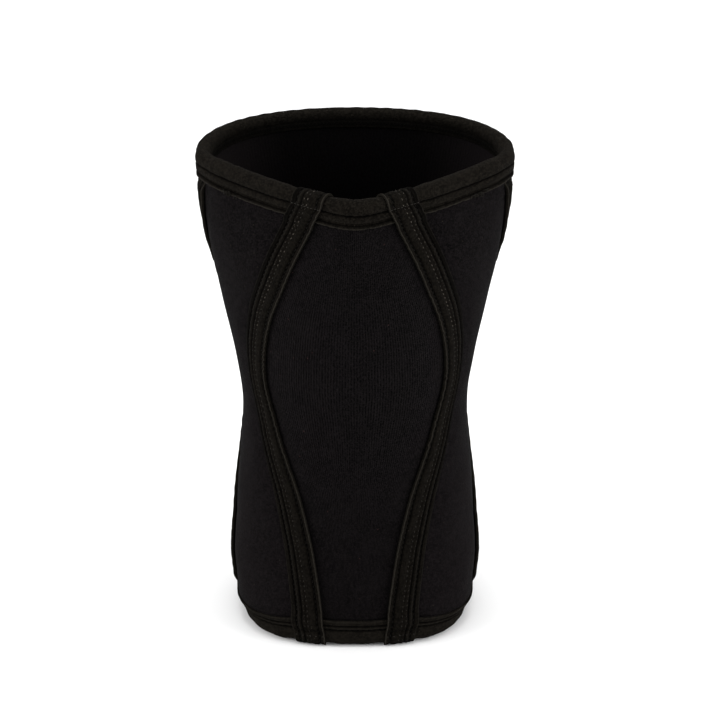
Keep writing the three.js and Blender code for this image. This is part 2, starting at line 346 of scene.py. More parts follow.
def pinch_at(path, s):
    """How much the seams draw the padding in, less and less from the rim's edge to the inside."""
    fade = np.where(path.turn > math.pi / 2, np.sin(path.turn), 1)[:, None]
    past = seam_distance(path, s) - TAPE_WIDTH / 2 - PINCH_MARGIN
    return SEAM_PINCH * fade * (1 - smooth(past / PINCH_RUNOUT))


def place(path, s, reach):
    """Points of a layer at the given reach from the middle of the wall."""
    middle, normal, up = frames_at(path.z, s)
    turn = path.turn[:, None, None]
    out = np.cos(turn) * normal + np.sin(turn) * path.end[:, None, None] * up
    points = middle + out * reach[..., None]
    ease = np.interp(points[..., 2], EASE[:, 0], EASE[:, 1])
    points[..., 0] *= 1 + ease / (TOP_HALF_WIDTH + ROLL_RADIUS)
    points[..., 1] += SHIFT_Y
    return points


def layer(path, s, lift):
    """Points at a lift above the wall's own face."""
    return place(path, s, WALL / 2 - pinch_at(path, s) + lift)


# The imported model's box is centred front to back, so the same shift centres this one
SHIFT_Y = 0.0
rim_row = fold(1)
rim_girth = 2 * Rings(rim_row.z).half_girth[0]
rim_s = np.broadcast_to(np.linspace(0, rim_girth, 361), (len(rim_row.z), 361))
rim_points = place(rim_row, rim_s, np.full(rim_s.shape, ROLL_RADIUS))
SHIFT_Y = BOX_MIDDLE_Y - (rim_points[..., 1].min() + rim_points[..., 1].max()) / 2


def zip_faces(one, other):
    """Triangles between two rows of point numbers that start and end side by side."""
    faces = []
    i = j = 0
    while i < len(one) - 1 or j < len(other) - 1:
        if j == len(other) - 1 or (i + 1) * (len(other) - 1) <= (j + 1) * (len(one) - 1) and i < len(one) - 1:
            faces.append((one[i], one[i + 1], other[j]))
            i += 1
        else:
            faces.append((one[i], other[j + 1], other[j]))
            j += 1
    return [face for face in faces if len(set(face)) == 3]


def cloth_solid(name, loops, along, around, ring=False, split=None, inner=False):
    """One closed mesh from closed loops of points, with the cloth's own lengths as its UV map.

    split is how many points of each loop lie on its first side; the rest come back along the other side.
    inner marks the points of a loop whose faces take the second material.
    """
    count, size, _ = loops.shape
    row, column = np.meshgrid(np.arange(count if ring else count - 1), np.arange(size), indexing="ij")
    this, after = row * size, (row + 1) % count * size
    beside = (column + 1) % size
    quads = np.stack([this + column, this + beside, after + beside, after + column], -1).reshape(-1, 4)
    u = np.append(along, along[-1] + along[1] - along[0])
    v = np.append(around, around[-1] + around[1] - around[0])
    corner_u = np.stack([u[row], u[row], u[row + 1], u[row + 1]], -1)
    corner_v = np.stack([v[column], v[column + 1], v[column + 1], v[column]], -1)
    uvs = np.stack([corner_u, corner_v], -1).reshape(-1, 4, 2)
    triangles = []
    if not ring:
        cap = zip_faces(list(range(split)), list(range(size - 1, split - 1, -1)))
        last = (count - 1) * size
        triangles = [face[::-1] for face in cap] + [tuple(last + i for i in face) for face in cap]
    points = loops.reshape(-1, 3)
    a, b, c, d = (points[quads[:, i]] for i in range(4))
    volume = (a * np.cross(b, c)).sum() + (a * np.cross(c, d)).sum()
    if volume < 0:
        quads = quads[:, ::-1]
        uvs = uvs[:, ::-1]
        triangles = [face[::-1] for face in triangles]
    cap_corners = np.array(triangles, int).ravel()
    cap_uvs = np.stack([np.repeat(along, size)[cap_corners], np.tile(around, count)[cap_corners]], -1)
    corners = np.concatenate([quads.ravel(), cap_corners]).astype(np.int32)
    sizes = np.concatenate([np.full(len(quads), 4), np.full(len(triangles), 3)]).astype(np.int32)
    marks = np.broadcast_to(inner, row.shape).ravel()
    marks = np.concatenate([marks, np.zeros(len(triangles), bool)])
    return mesh_object(name, points, corners, sizes, np.concatenate([uvs.reshape(-1, 2), cap_uvs]), marks)


def link(obj):
    bpy.context.scene.collection.objects.link(obj)


def mesh_object(name, points, corners, sizes, uvs=None, marks=None):
    mesh = bpy.data.meshes.new(name)
    mesh.vertices.add(len(points))
    mesh.vertices.foreach_set("co", np.ascontiguousarray(points, np.float32).ravel())
    mesh.loops.add(len(corners))
    mesh.loops.foreach_set("vertex_index", corners)
    mesh.polygons.add(len(sizes))
    mesh.polygons.foreach_set("loop_start", np.concatenate([[0], np.cumsum(sizes)[:-1]]).astype(np.int32))
    mesh.polygons.foreach_set("use_smooth", np.ones(len(sizes), bool))
    if marks is not None:
        mesh.polygons.foreach_set("material_index", marks.astype(np.int32))
    mesh.update(calc_edges=True)
    if uvs is not None:
        uv_map = mesh.uv_layers.new(name="cloth")
        uv_map.data.foreach_set("uv", np.ascontiguousarray(uvs, np.float32).ravel())
    mesh.validate()
    obj = bpy.data.objects.new(name, mesh)
    link(obj)
    return obj


def run_length(points):
    return np.concatenate([[0], np.cumsum(np.linalg.norm(np.diff(points, axis=0), axis=1))])


def add_piece(obj, materials, node=None):
    for material in materials:
        obj.data.materials.append(material)
    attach(obj, "root")
    if node:
        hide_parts(node)
    return obj


# Materials


class Shader:
    """A small helper that adds nodes to one material and links them."""

    def __init__(self, name):
        self.material = bpy.data.materials.new(name)
        self.material.use_nodes = True
        self.tree = self.material.node_tree
        self.surface = self.tree.nodes["Principled BSDF"]
        self.place = self.node("ShaderNodeTexCoord").outputs["Object"]

    def node(self, kind, inputs=(), **settings):
        node = self.tree.nodes.new(kind)
        for key, value in settings.items():
            setattr(node, key, value)
        for key, value in dict(inputs).items():
            self.put(node.inputs[key], value)
        return node

    def put(self, socket, value):
        if isinstance(value, bpy.types.NodeSocket):
            self.tree.links.new(value, socket)
        else:
            socket.default_value = value

    def math(self, operation, *values):
        node = self.node("ShaderNodeMath", operation=operation)
        for socket, value in zip(node.inputs, values):
            self.put(socket, value)
        return node.outputs[0]

    def times(self, value, other):
        return self.math("MULTIPLY", value, other)

    def waves(self, place, pitch):
        return self.math("SINE", self.times(place, TAU / pitch))

    def range(self, value, low, high, to_low=0.0, to_high=1.0):
        node = self.node("ShaderNodeMapRange", {
            "Value": value, "From Min": low, "From Max": high, "To Min": to_low, "To Max": to_high,
        })
        return node.outputs[0]

    def mix(self, share, one, other):
        node = self.node("ShaderNodeMix", data_type="RGBA")
        for number, value in ((0, share), (6, one), (7, other)):
            self.put(node.inputs[number], value)
        return node.outputs[2]

    def noise(self, size, detail=2.0, roughness=0.5):
        """Noise whose lumps are about the given size, in metres."""
        node = self.node("ShaderNodeTexNoise", {
            "Vector": self.place, "Scale": 1 / size, "Detail": detail, "Roughness": roughness,
        })
        return node.outputs["Fac"]

    def cells(self, size, channel):
        """Cells of about the given size: a random number for each, and how far off its middle is."""
        node = self.node("ShaderNodeTexVoronoi", {"Vector": self.place, "Scale": 1 / size}, feature="F1")
        random = self.node("ShaderNodeSeparateColor", {"Color": node.outputs["Color"]}).outputs[channel]
        return random, node.outputs["Distance"]

    def flecks(self, size, grain):
        """Cells of about the given size, each light or dark at random, mixed with a noise."""
        random, _ = self.cells(size, "Green")
        return self.math("ADD", self.times(random, 0.5), self.times(grain, 0.5))

    def split(self, vector):
        return tuple(self.node("ShaderNodeSeparateXYZ", {"Vector": vector}).outputs)

    def cloth(self):
        """The cloth's own two lengths in metres, from its UV map."""
        return self.split(self.node("ShaderNodeUVMap", uv_map="cloth").outputs["UV"])[:2]

    def bump(self, height, depth, below=None):
        """Bump whose heights are in metres when the value runs from 0 to 1."""
        inputs = {"Height": height, "Distance": depth, "Strength": 1.0}
        if below is not None:
            inputs["Normal"] = below
        return self.node("ShaderNodeBump", inputs).outputs[0]

    def finish(self, color, normal, roughness, specular, sheen, sheen_roughness=0.5, tint=(1, 1, 1, 1)):
        self.put(self.surface.inputs["Base Color"], color)
        self.put(self.surface.inputs["Normal"], normal)
        self.put(self.surface.inputs["Roughness"], roughness)
        self.put(self.surface.inputs["Specular IOR Level"], specular)
        self.put(self.surface.inputs["Sheen Weight"], sheen)
        self.put(self.surface.inputs["Sheen Roughness"], sheen_roughness)
        self.put(self.surface.inputs["Sheen Tint"], tint)
        return self.material


VIOLET = (1.13, 0.92, 0.98)
OLIVE = (1.18, 1.00, 0.78)
# Painted highlight: the light colour of the highlight lines on ridges, cords and edges
EDGE_HIGHLIGHT = (0.030, 0.027, 0.022, 1)
RED_LINT = (0.04, 0.02, 0.019, 1)


def dye(value, tint):
    """A cloth's colour: how light it is, times its tint."""
    return tuple(value * part for part in tint) + (1,)


# Painted shade: the near-black colour of the shade lines in the grooves and inside the rim
LINE_SHADE = dye(0.0002, OLIVE)


def band(shader, place, centre, reach, amount):
    """The amount on a line across or along the cloth, easing to 0 at the given reach on both sides."""
    off = shader.math("ABSOLUTE", shader.math("SUBTRACT", place, centre))
    return shader.range(off, 0, reach, amount, 0)


def specked(shader, color, size, share, amount, lint):
    """The colour with a few small spots of lint, on about the given share of cells of the given size."""
    random, off = shader.cells(size, "Red")
    spots = shader.times(shader.math("GREATER_THAN", random, 1 - share), shader.range(off, 0.20, 0.06))
    return shader.mix(shader.range(spots, 0, 1, 0, amount), color, lint)


def plush_knit():
    """Brushed cloth over padding: short pile in soft patches, with a sheen where it turns away."""
    shader = Shader("plush_knit")
    patches = shader.noise(9 * MM, detail=3)
    grain = shader.noise(0.75 * MM, detail=4, roughness=0.75)
    tone = shader.mix(shader.range(patches, 0.3, 0.7), dye(0.0004, VIOLET), dye(0.0014, VIOLET))
    color = shader.mix(shader.range(shader.flecks(0.65 * MM, grain), 0.36, 0.84), tone, dye(0.0066, VIOLET))
    _, _, height = shader.split(shader.place)
    # Painted light: the pile is made lighter towards the bottom, where the lamps above light it less
    painted_low_light = shader.range(height, 30 * MM, 150 * MM, 0.14, 0)
    color = shader.mix(painted_low_light, color, dye(0.0110, VIOLET))
    color = specked(shader, color, 1.9 * MM, 0.06, 0.7, dye(0.03, OLIVE))
    normal = shader.bump(grain, 0.38 * MM)
    return shader.finish(color, normal, roughness=0.95, specular=0.02, sheen=0.009, sheen_roughness=0.4)


RIB_PITCH = 1.35 * MM
LOOP_PITCH = 1.1 * MM


def ribbed_knit():
    """Fine upright ribs, each a column of small stitches."""
    shader = Shader("ribbed_knit")
    across, along = shader.cloth()
    drift = shader.noise(14 * MM, detail=1)
    place_across = shader.math("ADD", across, shader.range(drift, 0, 1, -0.5 * MM, 0.5 * MM))
    rib = shader.range(shader.waves(place_across, RIB_PITCH), -1, 1)
    loops = shader.waves(along, LOOP_PITCH)
    grain = shader.noise(0.7 * MM, detail=4, roughness=0.75)
    height = shader.math("ADD", shader.times(rib, 0.8), shader.times(loops, 0.06))
    # Painted shade: the valleys between the ribs are coloured darker than the rib tops, as the shade that
    # falls between them
    rib_shade_strength = shader.range(shader.noise(11 * MM), 0.3, 0.7, 0.45, 1)
    tone = shader.mix(shader.times(rib, rib_shade_strength), dye(0.0001, VIOLET), dye(0.0044, VIOLET))
    color = shader.mix(shader.range(shader.flecks(0.62 * MM, grain), 0.38, 0.84), tone, dye(0.0064, VIOLET))
    color = specked(shader, color, 2.6 * MM, 0.03, 0.6, RED_LINT)
    normal = shader.bump(grain, 0.28 * MM, shader.bump(height, 0.34 * MM))
    return shader.finish(color, normal, roughness=0.95, specular=0.02, sheen=0.005, sheen_roughness=0.5)


TWILL_PITCH = 0.9 * MM
WOVEN_SHEEN = (1, 0.92, 0.80, 1)


def woven_cloth(name, dark, light, sheen, shade_lines=(), highlight_lines=(), fading=None):
    """Close woven cloth with a slight nap, for tapes and bindings.

    Lines are places across the cloth, reaches and amounts. Shade lines are painted shade in the grooves and
    on the rim's inside; highlight lines are painted highlights on ridges, cords and edges. A fading line is
    one more dark line that is
    weak at the start of the piece: place, reach, amount, and where along the piece it comes in.
    """
    shader = Shader(name)
    along, across = shader.cloth()
    one = shader.waves(shader.math("ADD", along, across), TWILL_PITCH)
    other = shader.waves(shader.math("SUBTRACT", along, across), TWILL_PITCH)
    twill = shader.range(shader.math("ADD", one, shader.times(other, 0.5)), -1.5, 1.5)
    grain = shader.noise(0.7 * MM, detail=3, roughness=0.7)
    worn = shader.noise(6 * MM, detail=2)
    middling = dye((dark + light) / 2, OLIVE)
    tone = shader.mix(shader.range(worn, 0.3, 0.7), dye(0.75 * dark + 0.25 * light, OLIVE), middling)
    color = shader.mix(shader.range(shader.flecks(0.95 * MM, grain), 0.38, 0.70), tone, dye(light, OLIVE))
    color = specked(shader, color, 1.8 * MM, 0.06, 0.7, dye(0.035, OLIVE))
    # Painted shade along the grooves, where the cloth dips and the stitches lie
    for line in shade_lines:
        color = shader.mix(band(shader, across, *line), color, LINE_SHADE)
    # The fading line darkens the tape's outer strip with the same colour, less near the start of the piece
    if fading:
        *line, begin, full = fading
        share = shader.times(band(shader, across, *line), shader.range(along, begin, full, 0.15, 1))
        color = shader.mix(share, color, LINE_SHADE)
    # Painted highlights along raised ridges, the cord and the edges, a little uneven
    for line in highlight_lines:
        share = shader.times(band(shader, across, *line), shader.range(grain, 0.3, 0.6, 0.4, 1))
        color = shader.mix(share, color, EDGE_HIGHLIGHT)
    normal = shader.bump(grain, 0.28 * MM, shader.bump(twill, 0.12 * MM))
    return shader.finish(
        color, normal, roughness=0.9, specular=0.015, sheen=sheen, sheen_roughness=0.45, tint=WOVEN_SHEEN,
    )


WALE_PITCH = 1.2 * MM


def lining_knit():
    """The smooth inner cloth."""
    shader = Shader("lining_knit")
    across, _ = shader.cloth()
    grain = shader.noise(1.0 * MM, detail=3, roughness=0.6)
    sideways, _, _ = shader.split(shader.place)
    color = shader.mix(shader.range(grain, 0.35, 0.75), dye(0.0009, VIOLET), dye(0.0024, VIOLET))
    # Painted light: the lining is made lighter towards its left and right sides, where light falls into the
    # sleeve
    painted_side_light = shader.mix(grain, dye(0.0040, VIOLET), dye(0.0090, VIOLET))
    off_middle = shader.math("ABSOLUTE", sideways)
    color = shader.mix(shader.range(off_middle, 40 * MM, 80 * MM, 0, 0.75), color, painted_side_light)
    wales = shader.range(shader.waves(across, WALE_PITCH), -1, 1)
    normal = shader.bump(grain, 0.15 * MM, shader.bump(wales, 0.10 * MM))
    return shader.finish(color, normal, roughness=0.95, specular=0.02, sheen=0.001)


def thread(name, value, specular=0.15):
    shader = Shader(name)
    twist = shader.noise(0.5 * MM, detail=1)
    color = shader.mix(shader.range(twist, 0.35, 0.7), dye(value * 0.5, OLIVE), dye(value, OLIVE))
    normal = shader.bump(twist, 0.05 * MM)
    return shader.finish(color, normal, roughness=0.7, specular=specular, sheen=0.002)


PLUSH = plush_knit()
RIBBED = ribbed_knit()
LINING = lining_knit()

# Woven cloths: how light they are where dark and where light, their sheen, and then their lines of painted
# shade and painted highlight
TAPE_CLOTH = woven_cloth(
    "tape_cloth", 0.0008, 0.0051, 0.0022,
    # Painted shade in the tape's three grooves
    shade_lines=(
        (0.175 * TAPE_WIDTH, 0.9 * MM, 1),
        (0.345 * TAPE_WIDTH, 0.7 * MM, 0.9),
        (0.830 * TAPE_WIDTH, 1.1 * MM, 1),
    ),
    # Painted highlights on the tape's outer edge, its ridge, its cord and its rounded side
    highlight_lines=(
        (0.006 * TAPE_WIDTH, 0.40 * MM, 0.35),
        (0.255 * TAPE_WIDTH, 0.60 * MM, 0.25),
        (0.978 * TAPE_WIDTH, 0.55 * MM, 0.75),
        (1.030 * TAPE_WIDTH, 0.60 * MM, 0.35),
    ),
    fading=(0.080 * TAPE_WIDTH, 1.7 * MM, 0.85, 95 * MM, 150 * MM),
)
TOP_REACH = TOP_BINDING_DEPTH - ROLL_RADIUS
TOP_BINDING_CLOTH = woven_cloth(
    "top_binding_cloth", 0.0006, 0.0068, 0.0055,
    shade_lines=(
        # Painted shade in the binding's two grooves
        (TOP_REACH - 2.6 * MM, 0.9 * MM, 1),
        (TOP_REACH - 7.9 * MM, 1.2 * MM, 1),
        # Painted shade where the binding turns inside the sleeve, over the overlocked hem
        (TOP_REACH + 18.0 * MM, 8.0 * MM, 0.85),
    ),
    # Painted highlight along the lip's edge
    highlight_lines=((0.3 * MM, 0.7 * MM, 0.45),),
)
BOTTOM_REACH = BOTTOM_BINDING_DEPTH - ROLL_RADIUS
BOTTOM_BINDING_CLOTH = woven_cloth(
    "bottom_binding_cloth", 0.0012, 0.0070, 0.007,
    # Painted shade in the binding's two grooves
    shade_lines=((BOTTOM_REACH - 4.2 * MM, 0.8 * MM, 1), (BOTTOM_REACH - 6.1 * MM, 0.7 * MM, 0.9)),
    # Painted highlights on the ridge between the grooves and along the lip
    highlight_lines=((BOTTOM_REACH - 5.1 * MM, 0.5 * MM, 0.2), (0.4 * MM, 0.6 * MM, 0.15)),
)
DARK_THREAD = thread("dark_thread", 0.0045, 0.05)
HEM_THREAD = thread("hem_thread", 0.0016, 0.02)
LOOSE_THREAD = thread("loose_thread", 0.0075, 0.05)
MID_THREAD = thread("mid_thread", 0.016)
# Painted highlight: a lighter copy of the middle thread, for stitches that catch the light
HIGHLIGHT_THREAD = thread("highlight_thread", 0.048)


# Relief that the sewing leaves, as places across or down a piece and heights off its plain face

TAPE_RELIEF = np.array([
    (0.000, -0.30),
    (0.020, 0.10),
    (0.080, 0.12),
    (0.140, 0.10),
    (0.175, -0.75),
    (0.210, 0.00),
    (0.255, 0.25),
    (0.305, 0.05),
    (0.345, -0.70),
    (0.390, 0.05),
    (0.450, 0.25),
    (0.490, -0.05),
    (0.530, -0.15),
    (0.560, 0.10),
    (0.640, 0.55),
    (0.740, 0.35),
    (0.785, -0.10),
    (0.830, -0.80),
    (0.870, 0.05),
    (0.915, 0.20),
    (0.950, 0.25),
    (0.978, 0.95),
    (1.000, 0.45),
])
TOP_BINDING_RELIEF = np.array([
    (-21.0, 0.00),
    (-17.5, 0.10),
    (-16.6, -0.40),
    (-15.8, 0.00),
    (-11.0, 0.15),
    (-4.0, 0.40),
    (0.0, 0.40),
    (1.7, 0.20),
    (2.6, -1.30),
    (3.4, 0.05),
    (5.0, 0.50),
    (6.4, 0.10),
    (7.9, -2.20),
    (8.5, 0.00),
    (9.2, 0.50),
    (10.2, 0.30),
])
BOTTOM_BINDING_RELIEF = np.array([
    (-21.0, 0.00),
    (-4.0, 0.05),
    (0.0, 0.10),
    (3.3, 0.20),
    (4.2, -1.10),
    (4.9, 0.25),
    (5.4, 0.20),
    (6.1, -0.70),
    (6.9, 0.30),
    (8.1, 0.40),
    (8.7, 0.20),
])


def relief(table, at):
    """A relief table's height in metres, eased between its rows."""
    places, heights = table.T
    low = np.clip(np.searchsorted(places, at) - 1, 0, len(places) - 2)
    share = smooth((at - places[low]) / (places[low + 1] - places[low]))
    return (heights[low] + (heights[low + 1] - heights[low]) * share) * MM


BOTTOM_FRONT_EXTRA = 3.4 * MM
EXTRA_FROM = 22 * MM
EXTRA_TO = 62 * MM


def front_extra(end, s):
    """How much deeper the bottom binding is near the front's middle."""
    fade = smooth((np.abs(s) - EXTRA_FROM) / (EXTRA_TO - EXTRA_FROM))
    return np.where(end < 0, BOTTOM_FRONT_EXTRA * (1 - fade), 0)


def lip_reach(end, s):
    """How far down the outside the lip of the nearer binding lies."""
    return np.where(end > 0, TOP_BINDING_DEPTH, BOTTOM_BINDING_DEPTH) + front_extra(end, s) - ROLL_RADIUS


def down_from_rim(path):
    """How far each row has run down the outside from the wall's end; negative over the rim and inside."""
    past_end = ROLL_RADIUS * path.turn + path.beyond
    return np.where(path.turn > 0, -past_end, np.abs(rim_height(path.end) - path.z))


# Panels

PUFF = 0.7 * MM
PUFF_RUN = 22 * MM
SEAM_DRAW = 0.5 * MM
SEAM_DRAW_RUN = 3 * MM
PUCKER = 0.16 * MM
PUCKER_RUN = 12 * MM
UNEVEN = 0.25 * MM
UNDER_BINDING = 1.9 * MM
BINDING_EDGE_RUN = 2.5 * MM


def panel_relief(path, s, seed):
    """Soft padding: fuller between the seams, drawn in beside the tapes and a little uneven."""
    edge = beside_tapes(path, s)
    puff = PUFF * smooth(edge / PUFF_RUN)
    draw = SEAM_DRAW * hump(edge, SEAM_DRAW_RUN)
    z = path.z[:, None]
    pucker = PUCKER * hump(edge, PUCKER_RUN) * wobble(z + 0.15 * s, 9 * MM, seed)
    uneven = UNEVEN * wobble(z + 0.4 * s, 60 * MM, seed + 1) * wobble(s - 0.3 * z, 45 * MM, seed + 2)
    return puff - draw + pucker + uneven * smooth(edge / PUCKER_RUN)


def under_bindings(path, s):
    """How far the wall gives way under the bindings, from 0 in the open to 1 well under them."""
    down = down_from_rim(path)[:, None]
    lip = lip_reach(path.end[:, None], s)
    hem = -math.pi * ROLL_RADIUS - (HEM_DEPTH - ROLL_RADIUS)
    return smooth((lip - down) / BINDING_EDGE_RUN) * smooth((down - hem) / BINDING_EDGE_RUN)


def build_panel(name, from_seam, to_seam, round_back, outer_material, seed):
    """One padded panel between two seams, closed round both rims. Its inner side is lined."""
    up = outside(PANEL_ROW)
    down = Path(up.z, math.pi, up.end, down_from_rim(up)).reversed()
    first = up + fold(1, 8)
    second = down + fold(-1, 8).reversed()
    path = first + second
    rings = Rings(path.z)
    start = seam_at(from_seam, rings) + CLEARANCE / 2
    stop = seam_at(to_seam, rings) + (2 * rings.half_girth if round_back else 0) - CLEARANCE / 2
    widest = (stop - start).max()
    share = np.linspace(0, 1, round(widest / PANEL_COLUMN) + 1)
    s = start[:, None] + (stop - start)[:, None] * share[None]
    on_outside = (path.turn == 0)[:, None]
    hidden = under_bindings(path, s)
    lift = np.where(on_outside, panel_relief(path, s, seed) * (1 - hidden), 0) - UNDER_BINDING * hidden
    points = layer(path, s, lift)
    middle_column = points[:, len(share) // 2]
    obj = cloth_solid(
        name,
        points.transpose(1, 0, 2),
        s[len(up.z) // 2],
        run_length(middle_column),
        split=len(first.z),
        inner=path.turn > math.pi - 0.01,
    )
    add_piece(obj, (outer_material, LINING), name.removesuffix("_cloth"))


# Stitches


TUBE_SIDES = 6


def thread_tubes(name, line, outs, thick, material):
    """Round threads along lines of points, all in one mesh: rows of points, outward directions and radii."""
    sides = TUBE_SIDES
    count, steps, _ = line.shape
    along = unit(np.gradient(line, axis=1))
    sideways = unit(np.cross(along, outs[:, None]))
    upward = np.cross(sideways, along)
    angle = np.linspace(0, TAU, sides, endpoint=False)[None, None, :, None]
    ring = np.cos(angle) * sideways[:, :, None] + np.sin(angle) * upward[:, :, None]
    points = line[:, :, None] + ring * thick[..., None, None]
    corner = np.arange(sides)
    after = (corner + 1) % sides
    quads = np.concatenate([
        np.stack([low + corner, low + after, low + sides + after, low + sides + corner], 1)
        for low in range(0, (steps - 1) * sides, sides)
    ])
    caps = np.stack([corner[::-1], (steps - 1) * sides + corner])
    base = np.arange(count)[:, None] * steps * sides
    corners = np.concatenate([(base + quads.ravel()).ravel(), (base + caps.ravel()).ravel()]).astype(np.int32)
    sizes = np.concatenate([np.full(count * len(quads), 4), np.full(count * 2, sides)]).astype(np.int32)
    obj = mesh_object(name, points.reshape(-1, 3), corners, sizes)
    return add_piece(obj, (material,))


def stitches(name, starts, ends, outs, radius, material, slot):
    """Short threads, each one bent over like a small staple that dives into the cloth at both ends."""
    share = np.linspace(0, 1, 7)
    arch = np.sin(share * math.pi) ** 0.6 - 0.5
    line = starts[:, None] + (ends - starts)[:, None] * share[None, :, None]
    line = line + outs[:, None] * (arch * radius)[None, :, None]
    thick = np.tile(radius * (0.55 + 0.45 * np.sin(share * math.pi) ** 0.5), (len(starts), 1))
    return thread_tubes(name, line, outs, thick, material)


# Seam tapes

TAPE_PRESS = 0.4 * MM
TUCK = 5 * MM
TUCK_DIVE = 7 * MM
FLAT_OVER_RIM = 0.55
TAPE_UNEVEN = 0.10 * MM
TAPE_LEAST = 0.3 * MM

# The cord edge along the inner side of a tape, which waves most beside the knee
CORD_FROM = 0.86
CORD_RISE = 0.35 * MM
TUCKED_CORD = 0.2
WAVE = 0.45 * MM
WAVE_MIDDLE = 170 * MM
WAVE_REACH = 70 * MM
WAVE_FROM = 0.84
WAVE_FULL = 0.96

# Creases across the front tapes over the bindings' grooves: which rim, how far down from it, reach, depth
CREASES = (
    (1, 2.8 * MM, 1.5 * MM, 0.90 * MM),
    (1, 7.8 * MM, 1.5 * MM, 0.45 * MM),
    (-1, 4.4 * MM, 1.0 * MM, 0.60 * MM),
)


def tape_path(tucked):
    """Up the whole seam and round both rims, or only between the bindings where the ends are tucked in."""
    up = outside(TAPE_ROW)
    if tucked:
        return up.rows(down_from_rim(up) > lip_reach(up.end, np.inf) - TUCK)
    turn_in = TAPE_TURN_IN - ROLL_RADIUS
    bottom = fold(-1) + inside(-1, turn_in, TAPE_ROW)
    return bottom.reversed() + up + fold(1) + inside(1, turn_in, TAPE_ROW)


def tape_lift(past_lip, tucked):
    """The tape's height off the wall: it climbs onto each binding, or dives under it."""
    if tucked:
        return CLEARANCE - UNDER_BINDING * (1 - smooth(past_lip / TUCK_DIVE))
    climb = 1 - smooth((past_lip - CLEARANCE) / TAPE_CLIMB)
    return CLEARANCE + (TAPE_OVER_BINDING - CLEARANCE) * climb


def tape_face(path, share, offset, run, past_lip, tucked, seed):
    """How thick a tape is at each place, how far its cord edge rises and how far its outer edge sinks."""
    down = down_from_rim(path)
    on_outside = path.turn == 0
    cord = smooth((share - CORD_FROM) / (1 - CORD_FROM))[None] * CORD_RISE
    cord = cord * (0.6 + 0.4 * wobble(run, 7 * MM, seed + 1)[:, None])
    cord = cord * on_outside[:, None] * (TUCKED_CORD if tucked else 1)
    on_wall = tape_lift(past_lip, tucked)[:, None] < CLEARANCE * 1.5
    press = -TAPE_PRESS * hump(share, 0.10)[None] * on_wall
    crease = np.zeros_like(down)
    for end, at, reach, depth in CREASES:
        crease -= depth * hump(down - at, reach) * (on_outside & (path.end == end) & (not tucked))
    uneven = TAPE_UNEVEN * wobble(run[:, None] + 0.3 * offset, 11 * MM, seed + 2)
    flat = 1 - (1 - FLAT_OVER_RIM) * (1 - smooth((past_lip + 3 * MM) / (4 * MM)))
    sewn = relief(TAPE_RELIEF, share)[None] * flat[:, None]
    calm = smooth(past_lip / TUCK_DIVE)[:, None] if tucked else 1
    face = TAPE_THICKNESS + (sewn + cord + press + crease[:, None] + uneven) * calm
    return face, cord[:, -1:], press[:, :1]


def build_tape(seam, seed):
    """The tape along one seam. The rear ones are tucked under both bindings, the front ones fold in."""
    tucked = seam.startswith("rear")
    inward = 1 if seam.endswith("left") else -1
    path = tape_path(tucked)
    down = down_from_rim(path)
    centre = path.seam_centre(seam)
    past_lip = down - lip_reach(path.end, centre)
    run = path.z + path.end * np.where(path.turn > 0, -down, 0)
    on_wall = np.where(path.turn > 0, rim_height(path.end), path.z)
    widen = inward * np.hypot(1, seam_slope(seam, on_wall))[:, None]
    knee = hump(path.z - WAVE_MIDDLE, WAVE_REACH) * (path.turn == 0)
    wave = WAVE * (0.25 + 0.75 * knee) * wobble(run, 5 * MM, seed)
    share = np.concatenate([[0, 0.012], np.linspace(0.03, 0.97, TAPE_COLUMNS - 3), [0.988, 1]])
    widening = smooth((share - WAVE_FROM) / (WAVE_FULL - WAVE_FROM))
    offset = (share[None] - 0.5) * TAPE_WIDTH + wave[:, None] * widening[None]
    lift = tape_lift(past_lip, tucked)[:, None]
    face, cord, press = tape_face(path, share, offset, run, past_lip, tucked, seed)
    over = layer(path, centre[:, None] + offset * widen, lift + face)
    under_share = np.linspace(1, 0, UNDER_COLUMNS + 1)
    under_offset = (under_share[None] - 0.5) * TAPE_WIDTH
    under_face = under_share[None] ** 8 * cord + press * hump(under_share, 0.2)[None]
    under_face = np.minimum(under_face, face.min(axis=1)[:, None] - TAPE_LEAST)
    under = layer(path, centre[:, None] + under_offset * widen, lift + under_face)
    for points in (over, under):
        points[..., 2] = np.maximum(points[..., 2], 0)
    loops = np.concatenate([over, under], axis=1)
    length = run_length(over[:, TAPE_COLUMNS // 2])
    round_edge = (2 * TAPE_WIDTH + TAPE_THICKNESS) - under_share * TAPE_WIDTH
    around = np.concatenate([share * TAPE_WIDTH, round_edge])
    obj = cloth_solid(seam + "_tape_cloth", loops, length, around, split=len(share))
    side, hand = seam.split("_")
    add_piece(obj, (TAPE_CLOTH,), f"{side}_seam_tape_{hand}")
    pieces = tape_stitches(seam, over, share, length, inward, seed)
    if not tucked:
        pieces += cross_rows(seam, path, over, share, length, inward)


STITCH_PITCH = 3.2 * MM
ROW_START = 4 * MM
BRIGHT_FROM = 195 * MM
BRIGHT_SHARE = 0.45
BRIGHT_SWELL = 1.15
FLOOR_MARGIN = 1 * MM

# Rows of stitches along a tape: name, share across it, length, radius and thread
STITCH_ROWS = (
    ("outer_row", 0.178, 1.6 * MM, 0.26 * MM, DARK_THREAD),
    ("flat_row", 0.258, 2.2 * MM, 0.22 * MM, DARK_THREAD),
    ("fine_row", 0.410, 0.8 * MM, 0.16 * MM, MID_THREAD),
    ("bead_row", 0.530, 1.1 * MM, 0.24 * MM, MID_THREAD),
    ("inner_row", 0.826, 1.8 * MM, 0.26 * MM, DARK_THREAD),
)

